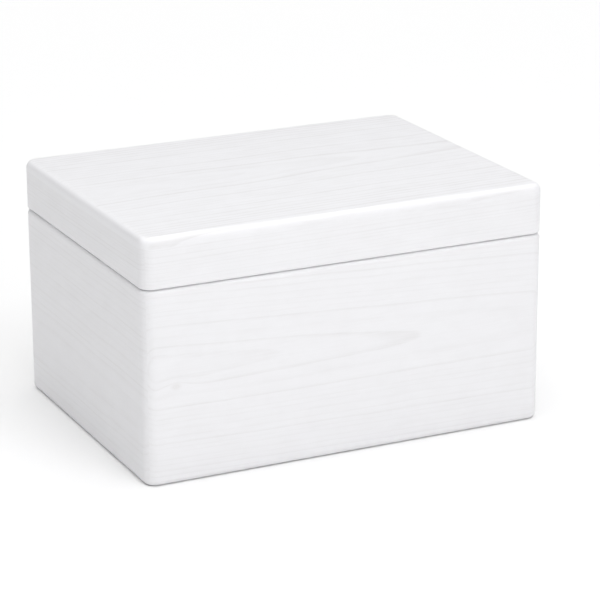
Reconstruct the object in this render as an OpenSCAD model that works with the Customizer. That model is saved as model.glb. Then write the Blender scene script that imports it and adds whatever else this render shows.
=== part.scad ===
// Wooden toy box: four mitred boards round a grooved-in base, and a deep lid on two butt hinges.
// Millimetres, +Z up. The origin is on the floor at the centre of the footprint, the front faces -Y.

/* [Box] */
// Outside width, left to right
box_w = 400; // [240:5:600]
// Outside depth, front to back
box_d = 300; // [180:5:450]
// Outside height with the lid closed
box_h = 230; // [140:5:350]
// Height of the lid, from the parting line up to its top
lid_h = 47.5; // [38:0.5:80]
// Gap between the two rims when the lid is closed
lid_gap = 0.5; // [0.2:0.1:1]

/* [Boards] */
// Thickness of the side boards and of the lid's rails
wall_t = 11; // [9:0.5:18]
// Full thickness of the lid panel, with the step that drops between the rails
panel_t = 12; // [10:0.5:18]
// Depth of that step
panel_step = 2; // [1:0.5:2.5]
// Thickness of the plywood base
base_t = 4; // [3:0.5:8]
// Height of the base's underside above the floor
base_raise = 8; // [6:0.5:20]
// Depth of the grooves that hold the base
groove_depth = 5; // [3:0.5:6]

/* [Rounding] */
// Radius of the four upright corners
corner_r = 12; // [8:0.5:14]
// Radius along the top of the lid
top_r = 7; // [2:0.5:7.5]
// Radius along the rim of the box
rim_r = 4.5; // [3:0.5:6]
// Radius along the lower edge of the lid
lid_edge_r = 2.5; // [1:0.5:4]
// Radius along the foot of the box
foot_r = 6; // [1:0.5:7]
// Radius along the inner edges of both rims
inner_r = 0.8; // [0.4:0.2:1.6]

/* [Hinges] */
// Length of a hinge along its pin
hinge_len = 40; // [25:1:60]
// Distance between the middles of the two hinges
hinge_spacing = 260; // [100:5:400]
// Thickness of a leaf
leaf_t = 1; // [0.8:0.1:1.5]
// Diameter of the hinge pin
pin_d = 2; // [1.5:0.1:3]
// Gap between the two leaves when the lid is closed
leaf_gap = 0.3; // [0.2:0.1:0.6]
// Wood left between a leaf's edge and the inside of the wall
leaf_margin = 1; // [0.5:0.1:1.5]

/* [Screws] */
// Screws in each leaf
screws_per_leaf = 3; // [2:1:4]
// Length of a screw
screw_len = 12; // [8:1:16]
// Diameter over the threads
screw_d = 2.5; // [2:0.1:3]
// Diameter of the countersunk head
screw_head_d = 4; // [3.6:0.1:4.4]

/* [Clearances] */
// Room round the base in its grooves, and round the lid panel's step between the rails
wood_fit = 0.2; // [0.1:0.05:0.4]
// Free space round the barrel and the leaves in their recesses
recess_fit = 0.3; // [0.2:0.05:0.5]
// Radial play of the pin in the lid leaf's knuckles
pin_play = 0.05; // [0.02:0.01:0.1]
// Play between neighbouring knuckles
knuckle_play = 0.2; // [0.1:0.05:0.4]

/* [Hidden] */
$fn = 64;
BODY_SIDES = ["front", "right", "back", "left"];
HINGE_SIDES = ["left", "right"];

body_top = box_h - lid_h - lid_gap / 2;
lid_bottom = box_h - lid_h + lid_gap / 2;
rail_top = box_h - panel_t + panel_step;
inner_w = box_w - 2 * wall_t;
inner_d = box_d - 2 * wall_t;

barrel_r = pin_d / 2 + leaf_t;
hinge_y = box_d / 2 - barrel_r;
hinge_z = box_h - lid_h;
leaf_reach = wall_t - barrel_r - leaf_margin;
leaf_low = leaf_gap / 2 + leaf_t;
knuckles = 5;
knuckle_len = hinge_len / knuckles;

// The peened ends of the pin, which stay inside the barrel's outline
pin_head_t = 0.6;
pin_head_r = pin_d / 2 + leaf_t / 2;
recess_len = hinge_len + 2 * (pin_head_t + recess_fit);

// The screws run down the middle of the leaf's flat, and their threads bite past the pilot holes
screw_row = -(barrel_r + leaf_reach) / 2;
screw_pitch = hinge_len / screws_per_leaf;
screw_core_r = 0.36 * screw_d;
screw_head_h = (screw_head_d - screw_d) / 2;
screw_tip = 2;
thread_pitch = 1.1;

// The cross slot in a screw's head
slot_w = 0.55;
slot_depth = 0.6;

// ---- shared shapes ----

// What a rounding takes off a square edge, with the arc's centre at the origin
module edge_waste(r) {
    difference() {
        square(r + 1);
        circle(r);
    }
}

// Section of a wall: x runs in from the outer face, y runs up
module wall_section(depth, height, low_r, high_r) {
    difference() {
        square([depth, height]);
        if (low_r > 0) translate([low_r, low_r]) rotate(180) edge_waste(low_r);
        if (high_r > 0) translate([high_r, height - high_r]) rotate(90) edge_waste(high_r);
    }
}

// Straight wall centred on x, with its outer face on y = 0
module straight_run(length, depth, height, low_r, high_r) {
    translate([-length / 2, 0, 0])
        rotate([90, 0, 90])
            linear_extrude(length) wall_section(depth, height, low_r, high_r);
}

// Quarter turn of the outer corner about its axis, from the -X side to the -Y side
module corner_turn(height, low_r, high_r) {
    rotate(180)
        rotate_extrude(angle = 90)
            translate([corner_r, 0])
                mirror([1, 0]) wall_section(corner_r, height, low_r, high_r);
}

function side_turn(side) = side == "front" ? 0 : side == "right" ? 90 : side == "back" ? 180 : 270;
function along_x(side) = side == "front" || side == "back";
function side_length(side) = along_x(side) ? box_w : box_d;

// Moves a part that faces -Y with its outer face on y = 0 to its side of the box
module on_side(side) {
    rotate(side_turn(side))
        translate([0, along_x(side) ? -box_d / 2 : -box_w / 2, 0]) children();
}

// What eases a board's inner edge, all along it. The board's rim is at z = 0.
module inner_easing(length) {
    translate([-length / 2, wall_t - inner_r, -inner_r])
        rotate([90, 0, 90])
            linear_extrude(length) edge_waste(inner_r);
}

// Board with rounded outer corners and a 45 degree mitre at each end
module mitred_board(length, height, low_r, high_r) {
    run = length - 2 * corner_r;
    intersection() {
        linear_extrude(height)
            polygon([
                [-length / 2, 0], [length / 2, 0],
                [length / 2 - wall_t, wall_t], [-length / 2 + wall_t, wall_t]
            ]);
        union() {
            straight_run(run, wall_t, height, low_r, high_r);
            for (m = [0, 1])
                mirror([m, 0, 0])
                    translate([-run / 2, corner_r, 0]) corner_turn(height, low_r, high_r);
        }
    }
}

// ---- box ----

// Groove for the base along one board, cut right through its mitres. The base lies on its floor.
module base_groove(length) {
    translate([-length / 2, wall_t - groove_depth, base_raise])
        cube([length, groove_depth + 1, base_t + wood_fit]);
}

module body_board(side) {
    color("whitesmoke")
        difference() {
            on_side(side)
                difference() {
                    mitred_board(side_length(side), body_top, foot_r, rim_r);
                    base_groove(side_length(side));
                    translate([0, 0, body_top]) inner_easing(side_length(side));
                }
            if (side == "back")
                at_hinges() {
                    leaf_recess();
                    screw_rows() pilot_hole();
                }
        }
}

module base_panel() {
    tongue = groove_depth - wood_fit;
    color("burlywood")
        translate([0, 0, base_raise + base_t / 2])
            cube([inner_w + 2 * tongue, inner_d + 2 * tongue, base_t], center = true);
}

// ---- lid ----

module lid_rail(side) {
    color("whitesmoke")
        difference() {
            translate([0, 0, lid_bottom])
                on_side(side)
                    difference() {
                        mitred_board(side_length(side), rail_top - lid_bottom, lid_edge_r, 0);
                        mirror([0, 0, 1]) inner_easing(side_length(side));
                    }
            if (side == "back")
                at_hinges()
                    mirror([0, 0, 1]) {
                        leaf_recess();
                        screw_rows() pilot_hole();
                    }
        }
}

module lid_panel() {
    edge_t = box_h - rail_top;
    run_x = box_w - 2 * corner_r;
    run_y = box_d - 2 * corner_r;
    step_w = inner_w - 2 * wood_fit;
    step_d = inner_d - 2 * wood_fit;
    color("whitesmoke") {
        translate([0, 0, rail_top]) {
            translate([-run_x / 2, -run_y / 2, 0]) cube([run_x, run_y, edge_t]);
            for (side = BODY_SIDES)
                on_side(side)
                    straight_run(side_length(side) - 2 * corner_r, corner_r, edge_t, 0, top_r);
            for (mx = [0, 1], my = [0, 1])
                mirror([mx, 0, 0])
                    mirror([0, my, 0])
                        translate([-run_x / 2, -run_y / 2, 0]) corner_turn(edge_t, 0, top_r);
        }
        translate([-step_w / 2, -step_d / 2, rail_top - panel_step])
            cube([step_w, step_d, panel_step + edge_t / 2]);
    }
}

// ---- hinges ----
// A hinge is drawn with its pin along X through the origin. The body leaf lies below z = 0,
// reaching towards -Y, and the lid leaf is its mirror image with the knuckles in between.

module at_hinge(side) {
    translate([(side == "left" ? -1 : 1) * hinge_spacing / 2, hinge_y, hinge_z]) children();
}

module at_hinges() {
    for (side = HINGE_SIDES) at_hinge(side) children();
}

// Rod along X, centred on x = middle
module rod(radius, length, middle = 0) {
    translate([middle, 0, 0]) rotate([0, 90, 0]) cylinder(r = radius, h = length, center = true);
}

function knuckle_middle(i) = (i + 0.5) * knuckle_len - hinge_len / 2;

// Places its children at each screw, with z = 0 on the leaf's face
module screw_rows() {
    for (i = [0:screws_per_leaf - 1])
        translate([(i + 0.5) * screw_pitch - hinge_len / 2, screw_row, -leaf_gap / 2]) children();
}

// Leaf with every second knuckle, starting at the number first
module leaf(first, bore_r) {
    difference() {
        union() {
            difference() {
                translate([-hinge_len / 2, -leaf_reach, -leaf_low])
                    cube([hinge_len, leaf_reach - bore_r, leaf_t]);
                for (i = [1 - first:2:knuckles - 1])
                    rod(barrel_r + recess_fit, knuckle_len + knuckle_play, knuckle_middle(i));
            }
            for (i = [first:2:knuckles - 1])
                rod(barrel_r, knuckle_len - knuckle_play, knuckle_middle(i));
        }
        rod(bore_r, hinge_len + 2);
        screw_rows() countersink();
    }
}

module body_leaf() {
    color("silver") leaf(0, pin_d / 2);
}

module lid_leaf() {
    color("silver") mirror([0, 0, 1]) leaf(1, pin_d / 2 + pin_play);
}

// Pin with a peened head outside each end knuckle
module hinge_pin() {
    color("silver") {
        rod(pin_d / 2, hinge_len + pin_head_t);
        for (end = [-1, 1])
            rod(pin_head_r, pin_head_t, end * (hinge_len + pin_head_t) / 2);
    }
}

// Room in the wood for one leaf and for the barrel, open towards the rim
module leaf_recess() {
    over = 1;
    translate([-recess_len / 2, -leaf_reach - recess_fit, -leaf_low])
        cube([recess_len, leaf_reach + recess_fit, leaf_low + over]);
    rod(barrel_r + recess_fit, recess_len);
}

// ---- screws ----
// A screw is drawn pointing down, with the top of its head on z = 0.

module countersink() {
    translate([0, 0, -screw_head_h])
        cylinder(r1 = screw_d / 2, r2 = screw_head_d / 2, h = screw_head_h);
    translate([0, 0, -leaf_t - 1]) cylinder(d = screw_d, h = leaf_t + 1);
    cylinder(d = screw_head_d, h = 1);
}

module pilot_hole() {
    translate([0, 0, -screw_len]) cylinder(r = screw_core_r, h = screw_len);
}

module wood_screw() {
    threads = floor((screw_len - leaf_t - screw_tip) / thread_pitch);
    thread_end = leaf_t + threads * thread_pitch;
    outline = concat(
        [[0, 0], [screw_head_d / 2, 0], [screw_d / 2, -screw_head_h], [screw_d / 2, -leaf_t]],
        [for (i = [0:threads - 1], half = [0.5, 1])
            [half == 1 ? screw_d / 2 : screw_core_r, -leaf_t - (i + half) * thread_pitch]],
        [[screw_core_r, -thread_end - thread_pitch / 2], [0, -screw_len]]
    );
    color("silver")
        difference() {
            rotate_extrude() polygon(outline);
            for (turn = [0, 90])
                rotate(turn)
                    cube([screw_d, slot_w, 2 * slot_depth], center = true);
        }
}

module hinge_part(side, part) {
    at_hinge(side) {
        if (part == "body_leaf") body_leaf();
        if (part == "lid_leaf") lid_leaf();
        if (part == "pin") hinge_pin();
        if (part == "body_screws") screw_rows() wood_screw();
        if (part == "lid_screws") mirror([0, 0, 1]) screw_rows() wood_screw();
    }
}

// ---- nodes ----

for (side = BODY_SIDES) {
    body_board(side);
    lid_rail(side);
}
base_panel();
lid_panel();
for (side = HINGE_SIDES, part = ["body_leaf", "lid_leaf", "pin", "body_screws", "lid_screws"])
    hinge_part(side, part);
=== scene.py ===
import math

import bpy
from mathutils import Matrix, Vector


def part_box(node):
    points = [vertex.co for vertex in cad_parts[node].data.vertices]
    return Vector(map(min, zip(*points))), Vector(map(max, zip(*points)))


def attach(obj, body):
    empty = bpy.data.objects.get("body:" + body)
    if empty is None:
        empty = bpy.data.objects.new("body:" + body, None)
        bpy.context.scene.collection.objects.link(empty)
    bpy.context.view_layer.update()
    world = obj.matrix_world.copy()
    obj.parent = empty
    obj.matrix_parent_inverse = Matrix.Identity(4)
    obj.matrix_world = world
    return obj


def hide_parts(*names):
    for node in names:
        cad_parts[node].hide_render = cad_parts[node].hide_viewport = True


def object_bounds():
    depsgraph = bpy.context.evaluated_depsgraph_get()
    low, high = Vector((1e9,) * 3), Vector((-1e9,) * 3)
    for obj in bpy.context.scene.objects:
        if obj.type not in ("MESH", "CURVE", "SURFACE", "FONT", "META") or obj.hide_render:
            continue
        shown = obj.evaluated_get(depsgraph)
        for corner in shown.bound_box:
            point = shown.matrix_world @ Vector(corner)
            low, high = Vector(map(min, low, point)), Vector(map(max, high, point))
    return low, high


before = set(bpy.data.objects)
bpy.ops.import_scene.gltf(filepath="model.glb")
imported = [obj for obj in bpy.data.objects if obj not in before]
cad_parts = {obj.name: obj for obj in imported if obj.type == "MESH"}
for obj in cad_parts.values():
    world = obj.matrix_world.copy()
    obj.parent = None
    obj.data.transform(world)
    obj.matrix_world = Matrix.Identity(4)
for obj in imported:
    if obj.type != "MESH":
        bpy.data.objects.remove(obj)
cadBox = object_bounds()
print("frame loaded")


# camera, floor and light

shot = {
    "azimuth": 25.45,  # degrees the camera stands to the left of the box's front
    "elevation": 18.19,
    "roll": -0.29,
    "distance": 2.503,  # metres, as are the next two
    "sideways": 0.0191,
    "upwards": -0.0118,
    "lens": 158.1,
}


def makeCamera(shot):
    turn, rise = math.radians(shot["azimuth"]), math.radians(shot["elevation"])
    back = Vector((-math.sin(turn) * math.cos(rise), -math.cos(turn) * math.cos(rise), math.sin(rise)))
    right = Vector((math.cos(turn), -math.sin(turn), 0))
    up = back.cross(right)
    data = bpy.data.cameras.new("camera")
    data.lens = shot["lens"]
    camera = bpy.data.objects.new("camera", data)
    bpy.context.scene.collection.objects.link(camera)
    low, high = cadBox
    place = (low + high) / 2 + back * shot["distance"] + right * shot["sideways"] + up * shot["upwards"]
    facing = Matrix((right, up, back)).transposed().to_4x4()
    roll = Matrix.Rotation(math.radians(shot["roll"]), 4, "Z")
    camera.matrix_world = Matrix.Translation(place) @ facing @ roll
    bpy.context.scene.camera = camera


studio = {
    "floorSize": 60.0,
    "floorWhite": 0.94,
    "floorRoughness": 0.9,
    "skyStrength": 0.09,
    # strength, the direction each light comes from, and how many degrees of the sky it fills
    "overhead": (2.79, (0.0, 0.0, 1.0), 100.0),
    "front": (0.45, (0.12, -0.85, 0.5), 50.0),
    "softboxPower": 2.5,  # watts
    "softboxPlace": (-0.05, -1.0, 0.9),
    "softboxAim": (0.0, 0.0, 0.15),
    "softboxSize": 0.8,
}


def addLight(name, kind, power, towards, place=(0, 0, 0)):
    data = bpy.data.lights.new(name, kind)
    data.energy = power
    light = bpy.data.objects.new(name, data)
    light.location = place
    light.rotation_mode = "QUATERNION"
    light.rotation_quaternion = Vector(towards).to_track_quat("Z", "Y")
    bpy.context.scene.collection.objects.link(light)
    return data


def makeStudio(studio):
    world = bpy.data.worlds.new("studio")
    world.use_nodes = True
    sky = world.node_tree.nodes["Background"]
    sky.inputs["Color"].default_value = (1, 1, 1, 1)
    sky.inputs["Strength"].default_value = studio["skyStrength"]
    bpy.context.scene.world = world

    for name in ("overhead", "front"):
        strength, direction, spread = studio[name]
        addLight(name, "SUN", strength, direction).angle = math.radians(spread)
    place = Vector(studio["softboxPlace"])
    softbox = addLight("softbox", "AREA", studio["softboxPower"], place - Vector(studio["softboxAim"]), place)
    softbox.size = studio["softboxSize"]

    half = studio["floorSize"] / 2
    mesh = bpy.data.meshes.new("floor")
    corners = [(-half, -half, 0), (half, -half, 0), (half, half, 0), (-half, half, 0)]
    mesh.from_pydata(corners, [], [(0, 1, 2, 3)])
    floor = bpy.data.objects.new("floor", mesh)
    bpy.context.scene.collection.objects.link(floor)
    paper = bpy.data.materials.new("floorPaper")
    paper.use_nodes = True
    shader = paper.node_tree.nodes["Principled BSDF"]
    white = studio["floorWhite"]
    shader.inputs["Base Color"].default_value = (white, white, white, 1)
    shader.inputs["Roughness"].default_value = studio["floorRoughness"]
    shader.inputs["Specular IOR Level"].default_value = 0.0
    mesh.materials.append(paper)


bpy.context.scene.view_settings.view_transform = "Standard"
makeCamera(shot)
makeStudio(studio)
print("camera, floor and light made")


# small helpers for building node trees

perMetre = 1000.0  # grain and screws are worked out in millimetres


def addNode(tree, kind, **settings):
    node = tree.nodes.new(kind)
    for name, value in settings.items():
        setattr(node, name, value)
    return node


def feed(tree, socket, value):
    if isinstance(value, bpy.types.NodeSocket):
        tree.links.new(value, socket)
    else:
        socket.default_value = value


def calc(tree, operation, *values):
    node = addNode(tree, "ShaderNodeMath", operation=operation)
    for i in range(len(values)):
        feed(tree, node.inputs[i], values[i])
    return node.outputs[0]


def ramp(tree, value, low, high, toLow=0.0, toHigh=1.0):
    # from toLow below low to toHigh above high, with soft ends
    node = addNode(tree, "ShaderNodeMapRange", interpolation_type="SMOOTHSTEP")
    given = {"Value": value, "From Min": low, "From Max": high, "To Min": toLow, "To Max": toHigh}
    for name, number in given.items():
        feed(tree, node.inputs[name], number)
    return node.outputs["Result"]


def vector(tree, x, y, z):
    node = addNode(tree, "ShaderNodeCombineXYZ")
    for i, value in enumerate((x, y, z)):
        feed(tree, node.inputs[i], value)
    return node.outputs[0]


def axes(tree, place):
    # the x, y and z of a place or a direction
    node = addNode(tree, "ShaderNodeSeparateXYZ")
    feed(tree, node.inputs[0], place)
    return node.outputs


def stretched(tree, place, scale):
    # a place with its x, y and z each multiplied
    return vector(tree, *(calc(tree, "MULTIPLY", value, times) for value, times in zip(place, scale)))


def noise(tree, place, shift, detail, rough=0.5, dimensions="3D"):
    # noise around 0, from about -0.5 to 0.5
    node = addNode(tree, "ShaderNodeTexNoise", noise_dimensions=dimensions)
    if dimensions == "1D":
        feed(tree, node.inputs["W"], calc(tree, "ADD", place, shift))
    else:
        moved = addNode(tree, "ShaderNodeVectorMath", operation="ADD")
        feed(tree, moved.inputs[0], place)
        feed(tree, moved.inputs[1], vector(tree, shift, shift, shift))
        feed(tree, node.inputs["Vector"], moved.outputs[0])
    node.inputs["Scale"].default_value = 1.0
    node.inputs["Detail"].default_value = detail
    node.inputs["Roughness"].default_value = rough
    return calc(tree, "SUBTRACT", node.outputs["Fac"], 0.5)


def mixColour(tree, amount, first, second):
    node = addNode(tree, "ShaderNodeMix", data_type="RGBA")
    feed(tree, node.inputs[0], amount)
    feed(tree, node.inputs[6], first)
    feed(tree, node.inputs[7], second)
    return node.outputs[2]


def newMaterial(name):
    material = bpy.data.materials.new(name)
    material.use_nodes = True
    tree = material.node_tree
    return material, tree, tree.nodes["Principled BSDF"]


def addBump(tree, shader, height, relief):
    bump = addNode(tree, "ShaderNodeBump")
    bump.inputs["Strength"].default_value = 1.0
    bump.inputs["Distance"].default_value = relief
    feed(tree, bump.inputs["Height"], height)
    feed(tree, shader.inputs["Normal"], bump.outputs["Normal"])


def paint(node, finish):
    for slot in node.material_slots:
        slot.material = finish


# grain of a sawn board: growth rings round a pith line that runs slightly askew behind its face

grainInputs = {
    "Along": 0.0,  # millimetres along the grain, across it, and in from the face
    "Across": 0.0,
    "Depth": 0.0,
    "Pith across": 0.0,
    "Pith rise": 0.0,  # how far the pith line climbs across the board, per millimetre along it
    "Pith depth": 30.0,
    "Pith slant": 0.05,  # how fast the pith line nears the face
    "Ring gap": 4.2,
    "Ring shift": 0.0,
    "Late share": 0.45,  # how much of a ring its late wood takes
    "Wander": 3.0,  # how far the pith line and the rings stray
    "Seed": 0.0,
    "Knot along": 0.0,
    "Knot across": 0.0,
    "Knot size": 0.0,
}

# patterns in the wood: how often each comes in a millimetre along the grain and across it, how many finer
# layers it has, and how strong they are
patterns = {
    "log": (0.0055, 0.019, 1.0, 0.5),  # slow wander of the whole log
    "ripple": (0.021, 0.11, 2.0, 0.5),  # short waves of single rings
    "fibre": (0.022, 0.55, 5.0, 0.62),
    "pores": (0.11, 2.1, 1.0, 0.5),
    "cloud": (0.035, 0.07, 3.0, 0.6),
}

figure = {
    "sway": 0.008,  # how often the pith line sways, in a millimetre
    "swayReach": 3.0,  # how far it sways, and how far the log moves the rings, in the board's own wander
    "logReach": 4.0,
    "rippleReach": 0.8,  # millimetres
    "knotSlim": 0.62,  # under 1, a knot is longer along the grain
    "knotSpread": 2.6,  # how wide a knot pushes the rings aside and how far, in its own size
    "knotPush": 0.9,
    "knotEdge": 1.2,  # where its dark begins and where it is full, in its own size
    "knotHeart": 0.3,
    "knotRings": 4.6,  # radians in a millimetre
    "knotContrast": 0.2,
    "widths": 0.37,  # how often the rings' width changes, in a ring, and by how many rings
    "widthChange": 1.1,
    "faintYears": 1.6,  # above 1, more of the years are faint
    "leastYear": 0.25,  # how strong the faintest is
    "lateFull": 0.93,  # where in a ring its late wood is full, and where it starts to break off
    "lateBreak": 0.94,
    "lateFibre": (1.4, 0.95),  # how much fibre and cloud change the late wood, and what they leave of it
    "lateCloud": (0.7, 1.0),
    "pores": (0.13, 0.24),  # from where to where a speck fades in
    "cloudShift": 7.3,
}


def distance(tree, x, y):
    squares = (calc(tree, "MULTIPLY", x, x), calc(tree, "MULTIPLY", y, y))
    return calc(tree, "SQRT", calc(tree, "ADD", *squares))


def makeBoardGrain():
    tree = bpy.data.node_groups.new("boardGrain", "ShaderNodeTree")
    for name, value in grainInputs.items():
        tree.interface.new_socket(name, in_out="INPUT", socket_type="NodeSocketFloat").default_value = value
    for name in ("Late wood", "Fibre", "Pores", "Cloud", "Knot"):
        tree.interface.new_socket(name, in_out="OUTPUT", socket_type="NodeSocketFloat")
    given = addNode(tree, "NodeGroupInput").outputs
    result = addNode(tree, "NodeGroupOutput").inputs
    along, across, depth, seed = given["Along"], given["Across"], given["Depth"], given["Seed"]

    def pattern(name, shift=seed):
        lengthwise, crosswise, detail, rough = patterns[name]
        place = stretched(tree, (along, across, depth), (lengthwise, crosswise, crosswise))
        return noise(tree, place, shift, detail, rough)

    # how far a point is from the pith line, which sways and wanders
    sway = noise(tree, calc(tree, "MULTIPLY", along, figure["sway"]), seed, 1.0, dimensions="1D")
    swayReach = calc(tree, "MULTIPLY", given["Wander"], figure["swayReach"])
    pithAcross = calc(tree, "MULTIPLY_ADD", along, given["Pith rise"], given["Pith across"])
    pithAcross = calc(tree, "MULTIPLY_ADD", sway, swayReach, pithAcross)
    pithDepth = calc(tree, "MULTIPLY_ADD", along, given["Pith slant"], given["Pith depth"])
    reach = distance(tree, calc(tree, "SUBTRACT", across, pithAcross), calc(tree, "ADD", depth, pithDepth))
    logReach = calc(tree, "MULTIPLY", given["Wander"], figure["logReach"])
    reach = calc(tree, "MULTIPLY_ADD", pattern("log"), logReach, reach)
    reach = calc(tree, "MULTIPLY_ADD", pattern("ripple"), figure["rippleReach"], reach)

    # a knot pushes the rings aside
    knotX = calc(tree, "MULTIPLY", calc(tree, "SUBTRACT", along, given["Knot along"]), figure["knotSlim"])
    knotReach = distance(tree, knotX, calc(tree, "SUBTRACT", across, given["Knot across"]))
    size = calc(tree, "ADD", given["Knot size"], 0.001)  # never quite 0, because it divides
    ratio = calc(tree, "DIVIDE", knotReach, calc(tree, "MULTIPLY", size, figure["knotSpread"]))
    push = calc(tree, "EXPONENT", calc(tree, "MULTIPLY", calc(tree, "MULTIPLY", ratio, ratio), -1.0))
    knotPush = calc(tree, "MULTIPLY", given["Knot size"], figure["knotPush"])
    reach = calc(tree, "MULTIPLY_ADD", push, knotPush, reach)
    knotEdge = calc(tree, "MULTIPLY", size, figure["knotEdge"])
    knot = ramp(tree, knotReach, knotEdge, calc(tree, "MULTIPLY", size, figure["knotHeart"]))
    knotRings = calc(tree, "SINE", calc(tree, "MULTIPLY", knotReach, figure["knotRings"]))
    contrast = figure["knotContrast"]
    knot = calc(tree, "MULTIPLY", knot, calc(tree, "MULTIPLY_ADD", knotRings, contrast, 1.0 - contrast))

    # rings of uneven width and strength, each with a soft inner and a crisp outer edge
    turns = calc(tree, "DIVIDE", reach, given["Ring gap"])
    turns = calc(tree, "ADD", turns, given["Ring shift"])
    uneven = noise(tree, calc(tree, "MULTIPLY", turns, figure["widths"]), seed, 1.0, dimensions="1D")
    turns = calc(tree, "MULTIPLY_ADD", uneven, figure["widthChange"], turns)
    phase = calc(tree, "FRACT", turns)
    year = addNode(tree, "ShaderNodeTexWhiteNoise", noise_dimensions="1D")
    feed(tree, year.inputs["W"], calc(tree, "ADD", calc(tree, "FLOOR", turns), seed))
    strength = calc(tree, "POWER", year.outputs["Value"], figure["faintYears"])
    strength = calc(tree, "MULTIPLY_ADD", strength, 1.0 - figure["leastYear"], figure["leastYear"])
    rise = ramp(tree, phase, calc(tree, "SUBTRACT", 1.0, given["Late share"]), figure["lateFull"])
    fall = ramp(tree, phase, figure["lateBreak"], 1.0, 1.0, 0.0)
    late = calc(tree, "MULTIPLY", calc(tree, "MULTIPLY", rise, fall), strength)

    fibre = pattern("fibre")
    cloud = pattern("cloud", calc(tree, "ADD", seed, figure["cloudShift"]))
    late = calc(tree, "MULTIPLY", late, calc(tree, "MULTIPLY_ADD", fibre, *figure["lateFibre"]))
    late = calc(tree, "MULTIPLY", late, calc(tree, "MULTIPLY_ADD", cloud, *figure["lateCloud"]))
    feed(tree, result["Late wood"], late)
    feed(tree, result["Fibre"], fibre)
    feed(tree, result["Pores"], ramp(tree, pattern("pores"), *figure["pores"]))
    feed(tree, result["Cloud"], cloud)
    feed(tree, result["Knot"], knot)
    return tree


boardGrain = makeBoardGrain()

glaze = {
    "white": (0.887, 0.886, 0.906, 1),  # milky glaze at its thickest
    "ring": (0.66, 0.645, 0.64, 1),  # late wood showing through
    "knot": (0.56, 0.52, 0.49, 1),
    "veil": 0.10,  # how much wood shows through everywhere
    "ringShow": 0.21,
    "fibreShow": 0.20,
    "poreShow": 0.06,
    "cloudShow": 0.18,
    "knotShow": 0.2,
    "endTurn": (0.15, 0.6),  # where the rings begin and cease to fade, as a face turns to a sanded end
    "endShow": 0.12,  # how much of them is left on the end
    "roughness": 0.43,
    "lateRoughness": -0.06,
    "fibreRoughness": 0.12,
    "relief": 0.00006,  # metres that the brushed rings stand proud
    "fibreRelief": 0.5,  # fibre and pores against the rings
    "poreRelief": -0.6,
}

# how each board lies, how its log lay in it, and where its knot is; a board may show more grain and less veil
boards = {
    "front_board": {"along": "x", "across": "z", "face": "-y", "Pith across": 105.0, "Pith rise": -0.03,
                    "Pith depth": 32.2, "Pith slant": 0.027, "Ring gap": 5.0, "Ring shift": -0.15,
                    "Wander": 0.7, "Seed": 11.0, "Knot along": -171.0, "Knot across": 91.5, "Knot size": 3.4},
    "back_board": {"along": "x", "across": "z", "face": "+y", "Pith across": 78.0, "Pith rise": 0.03,
                   "Pith depth": 38.0, "Pith slant": -0.03, "Ring gap": 5.2, "Wander": 0.8, "Seed": 23.0,
                   "Knot along": 96.0, "Knot across": 128.0, "Knot size": 3.8},
    "left_board": {"along": "y", "across": "z", "face": "-x", "Pith across": 62.0, "Pith rise": 0.0,
                   "Pith depth": 25.0, "Pith slant": -0.008, "Ring gap": 6.0, "Wander": 0.6, "Seed": 37.0},
    "right_board": {"along": "y", "across": "z", "face": "+x", "Pith across": 120.0, "Pith rise": -0.02,
                    "Pith depth": 30.0, "Pith slant": 0.015, "Ring gap": 5.6, "Wander": 0.7, "Seed": 41.0,
                    "Knot along": -61.0, "Knot across": 58.0, "Knot size": 3.0},
    "lid_panel": {"along": "x", "across": "y", "face": "+z", "Pith across": 7.0, "Pith rise": 0.03,
                  "Pith depth": 30.0, "Pith slant": 0.045, "Ring gap": 7.0, "Late share": 0.6, "Wander": 1.8,
                  "Seed": 57.0, "show": 1.6, "veil": 0.05, "sandedEnds": True},
    "lid_front_rail": {"along": "x", "across": "z", "face": "-y", "Pith across": 320.0, "Pith rise": 0.01,
                       "Pith depth": 20.0, "Pith slant": 0.01, "Ring gap": 3.4, "Wander": 0.4, "Seed": 61.0},
    "lid_back_rail": {"along": "x", "across": "z", "face": "+y", "Pith across": 90.0, "Pith rise": 0.01,
                      "Pith depth": 30.0, "Pith slant": 0.01, "Ring gap": 3.6, "Wander": 0.4, "Seed": 67.0},
    "lid_left_rail": {"along": "y", "across": "z", "face": "-x", "Pith across": 330.0, "Pith rise": -0.01,
                      "Pith depth": 24.0, "Pith slant": 0.01, "Ring gap": 3.5, "Wander": 0.4, "Seed": 71.0},
    "lid_right_rail": {"along": "y", "across": "z", "face": "+x", "Pith across": 60.0, "Pith rise": 0.01,
                       "Pith depth": 26.0, "Pith slant": 0.01, "Ring gap": 3.7, "Wander": 0.4, "Seed": 79.0},
}


def boardPlace(tree, name, board):
    # millimetres along and across the board, and in from its outer face
    low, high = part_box(name)
    axis = dict(zip("xyz", axes(tree, addNode(tree, "ShaderNodeTexCoord").outputs["Object"])))
    sign, letter = board["face"]
    i = "xyz".index(letter)
    if sign == "-":
        depth = calc(tree, "MULTIPLY_ADD", axis[letter], perMetre, -perMetre * low[i])
    else:
        depth = calc(tree, "MULTIPLY_ADD", axis[letter], -perMetre, perMetre * high[i])
    along = calc(tree, "MULTIPLY", axis[board["along"]], perMetre)
    across = calc(tree, "MULTIPLY", axis[board["across"]], perMetre)
    return along, across, depth


def useGrain(tree, name, board):
    grain = addNode(tree, "ShaderNodeGroup", node_tree=boardGrain)
    for socket, value in zip(("Along", "Across", "Depth"), boardPlace(tree, name, board)):
        feed(tree, grain.inputs[socket], value)
    for socket, value in board.items():
        if socket in grainInputs:
            feed(tree, grain.inputs[socket], value)
    return grain.outputs


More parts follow.
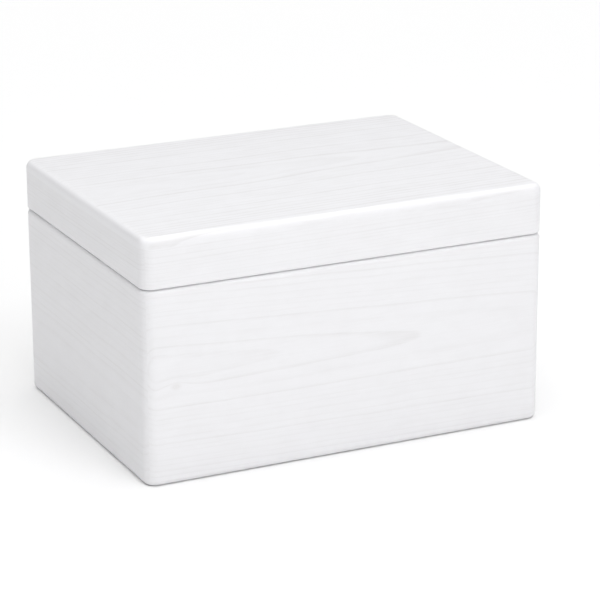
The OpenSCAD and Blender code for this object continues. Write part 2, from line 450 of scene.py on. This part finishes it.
def woodShowing(tree, grain, finish):
    # how much of the bare wood's colour comes through a finish
    show = calc(tree, "MULTIPLY", grain["Late wood"], finish["ringShow"])
    for output, amount in (("Fibre", "fibreShow"), ("Pores", "poreShow"), ("Cloud", "cloudShow")):
        show = calc(tree, "MULTIPLY_ADD", grain[output], finish[amount], show)
    return show


def ringsLeft(tree, board):
    # the glaze hides the rings on the cut ends, which face along the board
    normal = axes(tree, addNode(tree, "ShaderNodeTexCoord").outputs["Normal"])
    end = calc(tree, "ABSOLUTE", normal["xyz".index(board["along"])])
    return ramp(tree, end, *glaze["endTurn"], 1.0, glaze["endShow"])


def makeGlazedPine(name, board):
    material, tree, shader = newMaterial("glazedPine_" + name)
    grain = useGrain(tree, name, board)
    show = woodShowing(tree, grain, glaze)
    show = calc(tree, "MULTIPLY_ADD", show, board.get("show", 1.0), board.get("veil", glaze["veil"]))
    show = calc(tree, "MAXIMUM", show, 0.0)
    height = calc(tree, "MULTIPLY_ADD", grain["Fibre"], glaze["fibreRelief"], grain["Late wood"])
    height = calc(tree, "MULTIPLY_ADD", grain["Pores"], glaze["poreRelief"], height)
    if board.get("sandedEnds"):
        left = ringsLeft(tree, board)
        show = calc(tree, "MULTIPLY", show, left)
        height = calc(tree, "MULTIPLY", height, left)

    colour = mixColour(tree, show, glaze["white"], glaze["ring"])
    knotShow = calc(tree, "MULTIPLY", grain["Knot"], glaze["knotShow"])
    feed(tree, shader.inputs["Base Color"], mixColour(tree, knotShow, colour, glaze["knot"]))

    rough = calc(tree, "MULTIPLY_ADD", grain["Late wood"], glaze["lateRoughness"], glaze["roughness"])
    rough = calc(tree, "MULTIPLY_ADD", grain["Fibre"], glaze["fibreRoughness"], rough)
    feed(tree, shader.inputs["Roughness"], rough)
    addBump(tree, shader, height, glaze["relief"])
    return material


for name, board in boards.items():
    paint(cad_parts[name], makeGlazedPine(name, board))
print("boards glazed")


# whitewashed plywood base

plywood = {
    "board": {"along": "x", "across": "y", "face": "+z", "Pith across": 20.0, "Pith rise": 0.05,
              "Pith depth": 150.0, "Pith slant": 0.10, "Ring gap": 6.5, "Wander": 9.0, "Seed": 97.0},
    "white": (0.83, 0.825, 0.81, 1),
    "ring": (0.66, 0.63, 0.58, 1),
    "ringShow": 0.40,
    "fibreShow": 0.22,
    "poreShow": 0.16,
    "cloudShow": 0.2,
    "roughness": 0.56,
    "fibreRoughness": 0.14,
    "relief": 0.00005,
}


def makePlywood(plywood):
    material, tree, shader = newMaterial("whitewashedPlywood")
    grain = useGrain(tree, "base_panel", plywood["board"])
    show = calc(tree, "MAXIMUM", woodShowing(tree, grain, plywood), 0.0)
    feed(tree, shader.inputs["Base Color"], mixColour(tree, show, plywood["white"], plywood["ring"]))
    rough = calc(tree, "MULTIPLY_ADD", grain["Fibre"], plywood["fibreRoughness"], plywood["roughness"])
    feed(tree, shader.inputs["Roughness"], rough)
    addBump(tree, shader, calc(tree, "ADD", grain["Fibre"], grain["Late wood"]), plywood["relief"])
    return material


paint(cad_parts["base_panel"], makePlywood(plywood))
print("base whitewashed")


# zinc-plated hinges and screws

zinc = {
    "leaf": {"bright": (0.70, 0.71, 0.73, 1), "dull": (0.50, 0.51, 0.53, 1),
             "roughness": 0.34, "stroke": 1.0},
    "pin": {"bright": (0.74, 0.74, 0.75, 1), "dull": (0.58, 0.58, 0.59, 1),
            "roughness": 0.26, "stroke": 0.6},
    "screw": {"bright": (0.74, 0.75, 0.76, 1), "dull": (0.52, 0.53, 0.55, 1),
              "roughness": 0.30, "stroke": 0.25},
}

plating = {
    "strokes": (0.25, 9.0, 9.0),  # how often brush strokes and blotches come in a millimetre
    "blotches": (0.35, 0.35, 0.35),
    "strokeShift": 3.0,
    "blotchShift": 5.0,
    "strokeDull": 1.2,  # how much each dulls the zinc, and how dull it is without them
    "blotchDull": 1.5,
    "dull": 0.4,
    "blotchRoughness": 0.3,
    "relief": 0.00002,
}


def makeZinc(name, look):
    material, tree, shader = newMaterial(name)
    metres = axes(tree, addNode(tree, "ShaderNodeTexCoord").outputs["Object"])
    place = [calc(tree, "MULTIPLY", value, perMetre) for value in metres]
    strokes = noise(tree, stretched(tree, place, plating["strokes"]), plating["strokeShift"], 3.0, 0.6)
    blotch = noise(tree, stretched(tree, place, plating["blotches"]), plating["blotchShift"], 3.0, 0.6)
    dull = calc(tree, "MULTIPLY_ADD", blotch, plating["blotchDull"], plating["dull"])
    dull = calc(tree, "MULTIPLY_ADD", strokes, plating["strokeDull"] * look["stroke"], dull)
    clamped = addNode(tree, "ShaderNodeClamp")
    feed(tree, clamped.inputs[0], dull)
    feed(tree, shader.inputs["Base Color"], mixColour(tree, clamped.outputs[0], look["bright"], look["dull"]))
    shader.inputs["Metallic"].default_value = 1.0
    rough = calc(tree, "MULTIPLY_ADD", blotch, plating["blotchRoughness"], look["roughness"])
    feed(tree, shader.inputs["Roughness"], rough)
    addBump(tree, shader, strokes, plating["relief"] * look["stroke"])
    return material


leafZinc = makeZinc("brushedZinc", zinc["leaf"])
pinZinc = makeZinc("pinSteel", zinc["pin"])
screwZinc = makeZinc("screwZinc", zinc["screw"])
for name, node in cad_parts.items():
    if "hinge" in name:
        paint(node, screwZinc if "screws" in name else pinZinc if "pin" in name else leafZinc)
print("hinges plated")


# hinge screws with a wound thread and a cross recess

screw = {  # millimetres, or shares of a size where a note says so
    "Head across": 4.0,
    "Shank across": 2.5,
    "Core across": 1.8,
    "Length": 12.0,
    "Shank length": 1.6,
    "Tip length": 2.6,
    "Tip share": 0.05,  # how blunt the tip is, of the core
    "Thread gap": 1.1,
    "Thread stands": 0.42,
    "Thread root": 0.93,  # where the middle of its ridge runs, of the core
    "Thread stop": 1.4,  # how far short of the tip it ends
    "Thread fade in": 12.0,  # its length over that of the stretch where it starts, and where it ends
    "Thread fade out": 7.0,
    "Thread least": 0.08,  # how much of the ridge is left at its very ends
    "Recess depth": 0.95,
    "Recess across": 2.3,
    "Fin top": 0.56,  # half the width of a fin that cuts the recess, of the recess's width
    "Fin foot": 0.12,
    "Fin height": 1.2,  # of the recess's depth
    "Fin thickness": 0.24,  # of its width
    "Rings": 49,  # of points, down the stem
    "Thread steps": 24,  # in each turn
    "Sides": 32,
    "Seed": 5,
}


def sweep(tree, path, profile, size):
    # a profile drawn along a path, scaled at each point
    node = addNode(tree, "GeometryNodeCurveToMesh")
    feed(tree, node.inputs["Curve"], path)
    feed(tree, node.inputs["Scale"], size)
    feed(tree, node.inputs["Profile Curve"], profile)
    node.inputs["Fill Caps"].default_value = True
    return node.outputs[0]


def transform(tree, shape, **changes):
    node = addNode(tree, "GeometryNodeTransform")
    feed(tree, node.inputs["Geometry"], shape)
    for name, value in changes.items():
        feed(tree, node.inputs[name], value)
    return node.outputs[0]


def makeStem(tree, given, headR, shankR, coreR):
    # the screw without its thread, turned about its axis, head up at z = 0
    line = addNode(tree, "GeometryNodeCurvePrimitiveLine")
    feed(tree, line.inputs["End"], vector(tree, 0.0, 0.0, calc(tree, "MULTIPLY", given["Length"], -1.0)))
    steps = addNode(tree, "GeometryNodeResampleCurve")
    feed(tree, steps.inputs["Curve"], line.outputs[0])
    feed(tree, steps.inputs["Count"], given["Rings"])
    along = addNode(tree, "GeometryNodeSplineParameter").outputs["Factor"]
    down = calc(tree, "MULTIPLY", along, given["Length"])
    head = calc(tree, "SUBTRACT", headR, down)
    shank = calc(tree, "MULTIPLY", calc(tree, "LESS_THAN", down, given["Shank length"]), shankR)
    point = calc(tree, "DIVIDE", calc(tree, "SUBTRACT", given["Length"], down), given["Tip length"])
    point = calc(tree, "MAXIMUM", calc(tree, "MINIMUM", point, 1.0), given["Tip share"])
    core = calc(tree, "MULTIPLY", point, coreR)
    radius = calc(tree, "MAXIMUM", calc(tree, "MAXIMUM", head, shank), core)
    ring = addNode(tree, "GeometryNodeCurvePrimitiveCircle")
    feed(tree, ring.inputs["Resolution"], given["Sides"])
    ring.inputs["Radius"].default_value = 1.0
    return sweep(tree, steps.outputs[0], ring.outputs[0], radius)


def makeThread(tree, given, coreR):
    # a ridge wound down the core and fading out at both ends
    length = calc(tree, "SUBTRACT", given["Length"], given["Shank length"])
    length = calc(tree, "SUBTRACT", length, given["Thread stop"])
    rootR = calc(tree, "MULTIPLY", coreR, given["Thread root"])
    winding = addNode(tree, "GeometryNodeCurveSpiral")
    feed(tree, winding.inputs["Resolution"], given["Thread steps"])
    feed(tree, winding.inputs["Rotations"], calc(tree, "DIVIDE", length, given["Thread gap"]))
    feed(tree, winding.inputs["Start Radius"], rootR)
    feed(tree, winding.inputs["End Radius"], rootR)
    feed(tree, winding.inputs["Height"], length)
    foot = calc(tree, "MULTIPLY", calc(tree, "ADD", length, given["Shank length"]), -1.0)
    hung = transform(tree, winding.outputs[0], Translation=vector(tree, 0.0, 0.0, foot))

    # points near the tip move in with the core
    x, y, z = axes(tree, addNode(tree, "GeometryNodeInputPosition").outputs[0])
    toTip = calc(tree, "SUBTRACT", given["Length"], calc(tree, "MULTIPLY", z, -1.0))
    pull = calc(tree, "MINIMUM", calc(tree, "DIVIDE", toTip, given["Tip length"]), 1.0)
    moved = addNode(tree, "GeometryNodeSetPosition")
    feed(tree, moved.inputs["Geometry"], hung)
    inwards = vector(tree, calc(tree, "MULTIPLY", x, pull), calc(tree, "MULTIPLY", y, pull), z)
    feed(tree, moved.inputs["Position"], inwards)

    along = addNode(tree, "GeometryNodeSplineParameter").outputs["Factor"]
    fadeIn = calc(tree, "MULTIPLY", along, given["Thread fade in"])
    fadeOut = calc(tree, "MULTIPLY", calc(tree, "SUBTRACT", 1.0, along), given["Thread fade out"])
    fade = calc(tree, "MINIMUM", calc(tree, "MINIMUM", fadeIn, fadeOut), 1.0)
    fade = calc(tree, "MAXIMUM", fade, given["Thread least"])
    ridge = addNode(tree, "GeometryNodeCurvePrimitiveCircle")
    ridge.inputs["Resolution"].default_value = 3
    feed(tree, ridge.inputs["Radius"], given["Thread stands"])
    upright = addNode(tree, "GeometryNodeSetCurveNormal", mode="Z_UP")
    feed(tree, upright.inputs["Curve"], moved.outputs[0])
    return sweep(tree, upright.outputs[0], ridge.outputs[0], fade)


def cutRecess(tree, given, whole):
    # two tapering fins, crossed, cut into the head
    fin = addNode(tree, "GeometryNodeMeshCone")
    fin.inputs["Vertices"].default_value = 4
    feed(tree, fin.inputs["Radius Top"], calc(tree, "MULTIPLY", given["Recess across"], given["Fin top"]))
    feed(tree, fin.inputs["Radius Bottom"], calc(tree, "MULTIPLY", given["Recess across"], given["Fin foot"]))
    feed(tree, fin.inputs["Depth"], calc(tree, "MULTIPLY", given["Recess depth"], given["Fin height"]))
    foot = vector(tree, 0.0, 0.0, calc(tree, "MULTIPLY", given["Recess depth"], -1.0))
    thin = vector(tree, 1.0, given["Fin thickness"], 1.0)
    shape = transform(tree, fin.outputs[0], Translation=foot, Scale=thin)
    for turn in (0.0, math.pi / 2):
        cut = addNode(tree, "GeometryNodeMeshBoolean", operation="DIFFERENCE", solver="MANIFOLD")
        feed(tree, cut.inputs["Mesh 1"], whole)
        feed(tree, cut.inputs["Mesh 2"], transform(tree, shape, Rotation=(0.0, 0.0, turn)))
        whole = cut.outputs[0]
    return whole


def makeScrewTree(screw, finish):
    tree = bpy.data.node_groups.new("woodScrews", "GeometryNodeTree")
    tree.interface.new_socket("Places", in_out="INPUT", socket_type="NodeSocketGeometry")
    for name, value in screw.items():
        kind = "NodeSocketInt" if isinstance(value, int) else "NodeSocketFloat"
        tree.interface.new_socket(name, in_out="INPUT", socket_type=kind).default_value = value
    tree.interface.new_socket("Upside down", in_out="INPUT", socket_type="NodeSocketBool")
    tree.interface.new_socket("Screws", in_out="OUTPUT", socket_type="NodeSocketGeometry")
    given = addNode(tree, "NodeGroupInput").outputs
    widths = (given[name] for name in ("Head across", "Shank across", "Core across"))
    headR, shankR, coreR = (calc(tree, "MULTIPLY", width, 0.5) for width in widths)

    whole = addNode(tree, "GeometryNodeMeshBoolean", operation="UNION", solver="MANIFOLD")
    feed(tree, whole.inputs["Mesh 2"], makeStem(tree, given, headR, shankR, coreR))
    feed(tree, whole.inputs["Mesh 2"], makeThread(tree, given, coreR))
    cut = cutRecess(tree, given, whole.outputs[0])

    # one screw at each given point, each stopped at its own turn
    small = transform(tree, cut, Scale=(1 / perMetre, 1 / perMetre, 1 / perMetre))
    turns = addNode(tree, "FunctionNodeRandomValue", data_type="FLOAT")
    turns.inputs[3].default_value = 2 * math.pi  # the float's largest value
    feed(tree, turns.inputs["Seed"], given["Seed"])
    flip = calc(tree, "MULTIPLY", given["Upside down"], math.pi)
    spread = addNode(tree, "GeometryNodeInstanceOnPoints")
    feed(tree, spread.inputs["Points"], given["Places"])
    feed(tree, spread.inputs["Instance"], small)
    turned = addNode(tree, "GeometryNodeRotateInstances")
    feed(tree, turned.inputs["Instances"], spread.outputs[0])
    feed(tree, turned.inputs["Rotation"], vector(tree, flip, 0.0, turns.outputs[1]))
    real = addNode(tree, "GeometryNodeRealizeInstances")
    feed(tree, real.inputs[0], turned.outputs[0])
    painted = addNode(tree, "GeometryNodeSetMaterial")
    painted.inputs["Material"].default_value = finish
    feed(tree, painted.inputs["Geometry"], real.outputs[0])
    feed(tree, addNode(tree, "NodeGroupOutput").inputs[0], painted.outputs[0])
    return tree


def placeScrews(name, body, nodes, tree, finish, upsideDown):
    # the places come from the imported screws: heads at one end, and all in line
    headR = screw["Head across"] / 2 / perMetre
    places = []
    for node in nodes:
        low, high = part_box(node)
        z = low[2] if upsideDown else high[2]
        for x in (low[0] + headR, (low[0] + high[0]) / 2, high[0] - headR):
            places.append((x, (low[1] + high[1]) / 2, z))
    points = bpy.data.meshes.new(name + "Places")
    points.from_pydata(places, [], [])
    maker = bpy.data.objects.new(name + "Maker", points)
    bpy.context.scene.collection.objects.link(maker)
    modifier = maker.modifiers.new("screws", "NODES")
    modifier.node_group = tree
    sockets = {item.name: item.identifier for item in tree.interface.items_tree if item.in_out == "INPUT"}
    modifier[sockets["Upside down"]] = upsideDown
    for size, value in screw.items():
        modifier[sockets[size]] = value
    graph = bpy.context.evaluated_depsgraph_get()
    mesh = bpy.data.meshes.new_from_object(maker.evaluated_get(graph), depsgraph=graph)
    mesh.name = name
    bpy.data.objects.remove(maker)
    mesh.materials.clear()
    mesh.materials.append(finish)
    piece = bpy.data.objects.new(name, mesh)
    bpy.context.scene.collection.objects.link(piece)
    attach(piece, body)
    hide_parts(*nodes)


screwTree = makeScrewTree(screw, screwZinc)
boxScrews = ["left_hinge_body_screws", "right_hinge_body_screws"]
lidScrews = ["left_hinge_lid_screws", "right_hinge_lid_screws"]
placeScrews("hingeScrewsBox", "box", boxScrews, screwTree, screwZinc, False)
placeScrews("hingeScrewsLid", "lid", lidScrews, screwTree, screwZinc, True)
print("screws driven")
